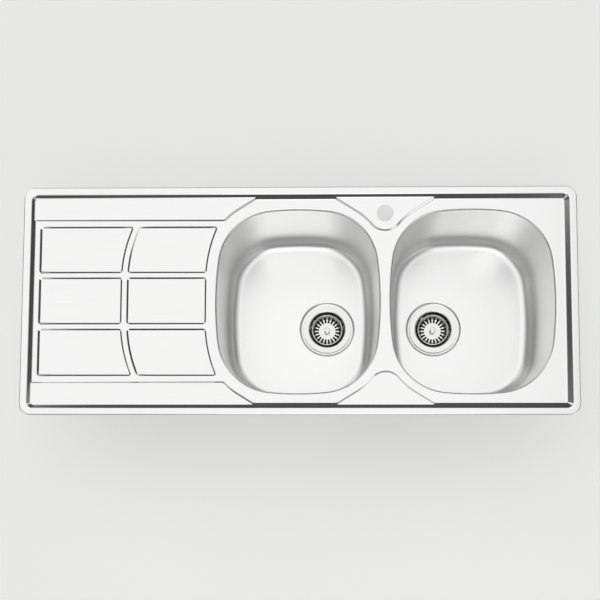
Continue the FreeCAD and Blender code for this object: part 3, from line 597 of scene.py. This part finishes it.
wall, seat = wallProfile(), seatProfile()
for side in ("left", "right"):
    x = bowl[side + "X"]
    cupLow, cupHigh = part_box(side + "_strainer_cup")
    drain = [(cupLow[i] + cupHigh[i]) / 2 / millimetre for i in (0, 1)]
    mesh = bmesh.new()
    addStrip(mesh, [lifted(bowlLoop(x, grow)[::-1], z) for grow, z in wall])
    addStrip(mesh, [lifted(clockwiseRing(drain, r, bowl["holeSteps"]), z) for r, z in seat])
    floorLoop = bowlLoop(x, wall[-1][0])
    seatLoop = ring(drain, seat[0][0], bowl["holeSteps"])
    rims = [Vector(p) for p in np.vstack([floorLoop, seatLoop])]
    rimEdges = loopEdges(0, len(floorLoop)) + loopEdges(len(floorLoop), len(seatLoop))
    cut = geometry.delaunay_2d_cdt(rims, rimEdges, [], 1, meshLines["merge"])
    spots = np.array([(v.x, v.y) for v in cut[0]])
    pastSeat = seat[0][0] - meshLines["holeSlack"]
    floorFaces = [face for face in cut[2] if np.hypot(*(spots[face].mean(axis=0) - drain)) > pastSeat]
    addFaces(mesh, spots, np.full(len(spots), bowl["floor"]), floorFaces)
    bowlPiece = makePiece(mesh, side + "_drawn_bowl", bowlSteel, bowl["sheet"])
    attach(bowlPiece, "sink")
    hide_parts(side + "_bowl")
print("bowls made")


# stainless steel, deep drawn and buffed: nearly a mirror, so the wastes show bright rings and dark gaps
buffed = {"colour": "#e6e6e5", "roughness": (0.08, 0.17), "smear": 11.1}  # smears of the buffing wheel
polished, tree = newMaterial("stainless_304_deep_drawn_and_buffed")
place = addNode(tree, "ShaderNodeTexCoord").outputs["Object"]
smear = addNode(tree, "ShaderNodeTexNoise", {"Scale": patternScale(buffed["smear"]), "Detail": 3.0},
                {"Vector": place})
gloss = addNode(tree, "ShaderNodeMapRange",
                {"To Min": buffed["roughness"][0], "To Max": buffed["roughness"][1]},
                {"Value": smear.outputs["Fac"]})
shader = addNode(tree, "ShaderNodeBsdfPrincipled",
                 {"Metallic": 1.0, "Base Color": hexColour(buffed["colour"])},
                 {"Roughness": gloss.outputs["Result"]})
addNode(tree, "ShaderNodeOutputMaterial", None, {"Surface": shader.outputs["BSDF"]})

# mild steel, zinc plated: greyer and duller than the sink, with faint crystals
plated = {"stops": [(0.0, "#c9cccf"), (1.0, "#b3b7bb")], "roughness": 0.36, "crystal": 3.333}
zinc, tree = newMaterial("mild_steel_pressed_and_zinc_plated")
place = addNode(tree, "ShaderNodeTexCoord").outputs["Object"]
crystals = addNode(tree, "ShaderNodeTexVoronoi", {"Scale": patternScale(plated["crystal"])},
                   {"Vector": place})
tone = addNode(tree, "ShaderNodeValToRGB", {"stops": plated["stops"]}, {"Fac": crystals.outputs["Distance"]})
shader = addNode(tree, "ShaderNodeBsdfPrincipled", {"Metallic": 1.0, "Roughness": plated["roughness"]},
                 {"Base Color": tone.outputs["Color"]})
addNode(tree, "ShaderNodeOutputMaterial", None, {"Surface": shader.outputs["BSDF"]})

# nitrile rubber, moulded: almost black and dull, a little greyer where moulding dust stays
gasket = {"stops": [(0.3, "#161616"), (0.8, "#262625")], "roughness": 0.6, "dust": 2.5}
rubber, tree = newMaterial("nitrile_rubber_compression_moulded")
place = addNode(tree, "ShaderNodeTexCoord").outputs["Object"]
dust = addNode(tree, "ShaderNodeTexNoise", {"Scale": patternScale(gasket["dust"]), "Detail": 4.0},
               {"Vector": place})
tone = addNode(tree, "ShaderNodeValToRGB", {"stops": gasket["stops"]}, {"Fac": dust.outputs["Fac"]})
shader = addNode(tree, "ShaderNodeBsdfPrincipled", {"Roughness": gasket["roughness"]},
                 {"Base Color": tone.outputs["Color"]})
addNode(tree, "ShaderNodeOutputMaterial", None, {"Surface": shader.outputs["BSDF"]})

# polypropylene, injection moulded: off-white and softly shining, light sinks in a little
moulded = {"stops": [(0.3, "#d9d9d5"), (0.7, "#e2e2de")], "roughness": 0.38, "depth": 0.05, "flow": 16.67}
plastic, tree = newMaterial("polypropylene_injection_moulded_white")
place = addNode(tree, "ShaderNodeTexCoord").outputs["Object"]
flow = addNode(tree, "ShaderNodeTexNoise", {"Scale": patternScale(moulded["flow"]), "Detail": 2.0},
               {"Vector": place})
tone = addNode(tree, "ShaderNodeValToRGB", {"stops": moulded["stops"]}, {"Fac": flow.outputs["Fac"]})
shader = addNode(tree, "ShaderNodeBsdfPrincipled",
                 {"Roughness": moulded["roughness"], "Subsurface Weight": moulded["depth"]},
                 {"Base Color": tone.outputs["Color"]})
addNode(tree, "ShaderNodeOutputMaterial", None, {"Surface": shader.outputs["BSDF"]})

# EPDM foam strip, extruded: black-grey without shine, pitted by cut cells; real cells are 0.3 mm across, too
# fine to show, so they are drawn coarser
strip = {"colour": "#2b2b2c", "roughness": 0.9, "cell": 1.111, "relief": 0.0005}  # relief in metres
foam, tree = newMaterial("epdm_foam_extruded_strip")
place = addNode(tree, "ShaderNodeTexCoord").outputs["Object"]
cells = addNode(tree, "ShaderNodeTexVoronoi", {"Scale": patternScale(strip["cell"])}, {"Vector": place})
relief = addNode(tree, "ShaderNodeBump", {"Strength": 0.4, "Distance": strip["relief"]},
                 {"Height": cells.outputs["Distance"]})
shader = addNode(tree, "ShaderNodeBsdfPrincipled",
                 {"Roughness": strip["roughness"], "Base Color": hexColour(strip["colour"])},
                 {"Normal": relief.outputs["Normal"]})
addNode(tree, "ShaderNodeOutputMaterial", None, {"Surface": shader.outputs["BSDF"]})

# bitumen damping sheet, hot rolled: dark grey, dull and lumpy
damping = {"colour": "#39393b", "roughness": 0.75, "lump": 4.0, "relief": 0.0006}  # relief in metres
bitumen, tree = newMaterial("bitumen_sheet_hot_rolled_and_glued")
place = addNode(tree, "ShaderNodeTexCoord").outputs["Object"]
lumps = addNode(tree, "ShaderNodeTexNoise", {"Scale": patternScale(damping["lump"]), "Detail": 5.0},
                {"Vector": place})
relief = addNode(tree, "ShaderNodeBump", {"Strength": 0.5, "Distance": damping["relief"]},
                 {"Height": lumps.outputs["Fac"]})
shader = addNode(tree, "ShaderNodeBsdfPrincipled",
                 {"Roughness": damping["roughness"], "Base Color": hexColour(damping["colour"])},
                 {"Normal": relief.outputs["Normal"]})
addNode(tree, "ShaderNodeOutputMaterial", None, {"Surface": shader.outputs["BSDF"]})

bySlot = {
    "satin_steel": steel, "polished_steel": polished, "welded_steel": zinc, "zinc_steel": zinc,
    "white_plastic": plastic, "black_rubber": rubber, "damping_sheet": bitumen, "foam": foam,
}
for entry in frame["record"]["subparts"]:
    node = frame["nodes"][entry["node"]]
    node.data.materials.clear()
    node.data.materials.append(bySlot[entry["material_slot"]])
print("materials given to the frame's nodes")

# matt paper floor: no shine, the same pale grey to the camera and in the steel, and it keeps the shadow
paper = {"colour": "#f2f2f1", "glow": "#868686", "roughness": 0.9, "half": 40.0, "gap": 0.0005}  # metres
floorPaper, tree = newMaterial("pale_paper_matt")
rays = addNode(tree, "ShaderNodeLightPath").outputs
seen = addNode(tree, "ShaderNodeMath", {"operation": "MAXIMUM"},
               {0: rays["Is Camera Ray"], 1: rays["Is Glossy Ray"]})
seen = addNode(tree, "ShaderNodeMath", {"operation": "MAXIMUM"},
               {0: seen.outputs["Value"], 1: rays["Is Transmission Ray"]})
shader = addNode(tree, "ShaderNodeBsdfPrincipled",
                 {"Roughness": paper["roughness"], "Base Color": hexColour(paper["colour"]),
                  "Emission Color": hexColour(paper["glow"])},
                 {"Emission Strength": seen.outputs["Value"]})
addNode(tree, "ShaderNodeOutputMaterial", None, {"Surface": shader.outputs["BSDF"]})
floorMesh = bmesh.new()
bmesh.ops.create_grid(floorMesh, x_segments=1, y_segments=1, size=paper["half"])
floorData = bpy.data.meshes.new("studio_floor")
floorMesh.to_mesh(floorData)
floorMesh.free()
floorData.materials.append(floorPaper)
floor = bpy.data.objects.new("studio_floor", floorData)
floor.location.z = cadBox[0][2] - paper["gap"]
scene.collection.objects.link(floor)

# soft pale sky, brightest overhead; high up it falls off to the sides and to the front corners
white = hexColour("#ffffff")
sky = {
    "strength": 1.1, "high": (0.45, 0.65),
    "dome": [(0.0, "#dedede"), (0.3, "#d2d2d2"), (0.64, "#d8d8d8"), (0.76, "#fdfdfd"), (1.0, "#fdfdfd")],
    "sides": [(0.19, "#d2d2d2"), (0.28, "#ffffff"), (0.62, "#ffffff"), (0.71, "#d2d2d2")],
    "corner": "#8c8c8c", "cornerSideways": (0.1, 0.5), "cornerFrontward": (0.05, -0.3),
}
world = bpy.data.worlds.new("studio")
scene.world = world
world.use_nodes = True
tree = world.node_tree
tree.nodes.clear()
place = addNode(tree, "ShaderNodeTexCoord").outputs["Generated"]
axes = addNode(tree, "ShaderNodeSeparateXYZ", None, {"Vector": place}).outputs
apart = addNode(tree, "ShaderNodeMath", {"operation": "ABSOLUTE"}, {0: axes["X"]})
ranges = {
    "leftToRight": (axes["X"], (-1.0, 1.0)), "high": (axes["Z"], sky["high"]),
    "sideways": (apart.outputs["Value"], sky["cornerSideways"]),
    "frontward": (axes["Y"], sky["cornerFrontward"]),
}
share = {}
for name, (value, (low, high)) in ranges.items():
    mapped = addNode(tree, "ShaderNodeMapRange", {"From Min": low, "From Max": high}, {"Value": value})
    share[name] = mapped.outputs["Result"]
dome = addNode(tree, "ShaderNodeValToRGB", {"stops": sky["dome"]}, {"Fac": axes["Z"]})
sideFall = addNode(tree, "ShaderNodeValToRGB", {"stops": sky["sides"]}, {"Fac": share["leftToRight"]})
toCorner = addNode(tree, "ShaderNodeMath", {"operation": "MULTIPLY"},
                   {0: share["sideways"], 1: share["frontward"]})
# in a colour mix, socket 0 is the share and 6 and 7 are the colours
cornerFall = addNode(tree, "ShaderNodeMix", {"data_type": "RGBA", 6: white, 7: hexColour(sky["corner"])},
                     {0: toCorner.outputs["Value"]})
shade = addNode(tree, "ShaderNodeVectorMath", {"operation": "MULTIPLY"},
                {0: sideFall.outputs["Color"], 1: cornerFall.outputs[2]})
fall = addNode(tree, "ShaderNodeMix", {"data_type": "RGBA", 6: white},
               {0: share["high"], 7: shade.outputs["Vector"]})
lit = addNode(tree, "ShaderNodeVectorMath", {"operation": "MULTIPLY"},
              {0: dome.outputs["Color"], 1: fall.outputs[2]})
background = addNode(tree, "ShaderNodeBackground", {"Strength": sky["strength"]},
                     {"Color": lit.outputs["Vector"]})
addNode(tree, "ShaderNodeOutputWorld", None, {"Surface": background.outputs["Background"]})

# dark cards far out on the four sides that give off a fixed dark grey glow instead of being lit: painted
# shade, which pressed edges mirror as dark lines, and their faded edges leave no hard border in the steel
cards = {
    # tone: the cards' fixed dark grey glow, painted shade seen only in the steel
    "away": 45.0, "halfWidth": 30.0, "height": 52.7, "tone": "#424242",  # metres
    "turns": {"back": 0, "left": 82, "front": 180, "right": 278},
    "upFade": [(0.0, "#000000"), (0.043, "#dcdcdc"), (0.11, "#ffffff"), (0.49, "#ffffff"), (0.71, "#bcbcbc"),
               (1.0, "#000000")],
    "sideFade": [(0.0, "#000000"), (0.167, "#ffffff"), (0.833, "#ffffff"), (1.0, "#000000")],
}
darkCardShadeGlow, tree = newMaterial("dark_card_painted_shade_glow")
place = addNode(tree, "ShaderNodeTexCoord").outputs["Generated"]
axes = addNode(tree, "ShaderNodeSeparateXYZ", None, {"Vector": place}).outputs
upFade = addNode(tree, "ShaderNodeValToRGB", {"stops": cards["upFade"]}, {"Fac": axes["Z"]})
sideFade = addNode(tree, "ShaderNodeValToRGB", {"stops": cards["sideFade"]}, {"Fac": axes["X"]})
cover = addNode(tree, "ShaderNodeMath", {"operation": "MULTIPLY"},
                {0: upFade.outputs["Color"], 1: sideFade.outputs["Color"]})
clear = addNode(tree, "ShaderNodeBsdfTransparent")
# painted shade: the card glows a fixed dark grey, standing in for lit felt
paintedShadeGlow = addNode(tree, "ShaderNodeEmission", {"Color": hexColour(cards["tone"])})
fade = addNode(tree, "ShaderNodeMixShader", None,
               {0: cover.outputs["Value"], 1: clear.outputs["BSDF"], 2: paintedShadeGlow.outputs["Emission"]})
addNode(tree, "ShaderNodeOutputMaterial", None, {"Surface": fade.outputs["Shader"]})
cardData = bpy.data.meshes.new("dark_card")
low, high = -cards["halfWidth"], cards["halfWidth"]
cardCorners = [(low, 0), (high, 0), (high, cards["height"]), (low, cards["height"])]
cardData.from_pydata([(x, cards["away"], z) for x, z in cardCorners], [], [(0, 1, 2, 3)])
cardData.materials.append(darkCardShadeGlow)
for name, turn in cards["turns"].items():
    card = bpy.data.objects.new(name + "_dark_card", cardData)
    card.rotation_euler.z = math.radians(turn)
    card.visible_camera = False
    scene.collection.objects.link(card)

# weak softboxes on three sides, unseen by the camera: metres and watts
lamps = {
    "front_softbox": {"size": (1.4, 1.4), "place": (0.2, -1.3, 2.4), "power": 3.6},
    "back_left_softbox": {"size": (2.0, 1.4), "place": (-2.2, 2.2, 1.2), "power": 5.0},
    "front_right_softbox": {"size": (2.0, 1.4), "place": (2.2, -2.2, 1.0), "power": 5.0},
}
for name, lamp in lamps.items():
    lampData = bpy.data.lights.new(name, "AREA")
    lampData.shape = "RECTANGLE"
    lampData.size, lampData.size_y = lamp["size"]
    lampData.energy = lamp["power"]
    lampObject = bpy.data.objects.new(name, lampData)
    lampObject.location = lamp["place"]
    lampObject.rotation_euler = (-Vector(lamp["place"])).to_track_quat("-Z", "Y").to_euler()
    lampObject.visible_camera = False
    scene.collection.objects.link(lampObject)
print("floor and light set")
